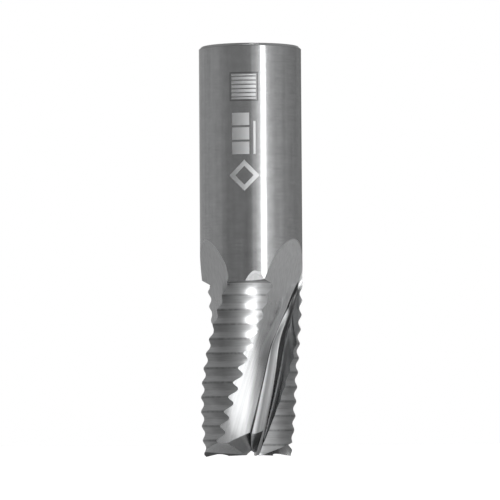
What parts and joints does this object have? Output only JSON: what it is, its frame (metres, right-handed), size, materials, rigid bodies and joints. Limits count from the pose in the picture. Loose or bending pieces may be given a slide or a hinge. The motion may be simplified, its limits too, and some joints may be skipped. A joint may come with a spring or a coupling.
{
  "type": "spiral router bit",
  "caption": "Solid carbide spiral roughing router bit with a plain round shank, deep helical flutes and rippled chip-breaker lands.",
  "frame": {"origin": "on the tool's axis, in the plane of the three tooth corners that it stands on", "axes": "+Z along the tool's axis, from the end teeth to the shank end; -Y is the side seen in the picture"},
  "size_m": [0.02, 0.02, 0.08],
  "materials": {
    "ground_carbide": "fine ground and polished solid carbide, neutral grey"
  },
  "bodies": {
    "root": {"router_bit": "ground_carbide"}
  },
  "joints": []
}
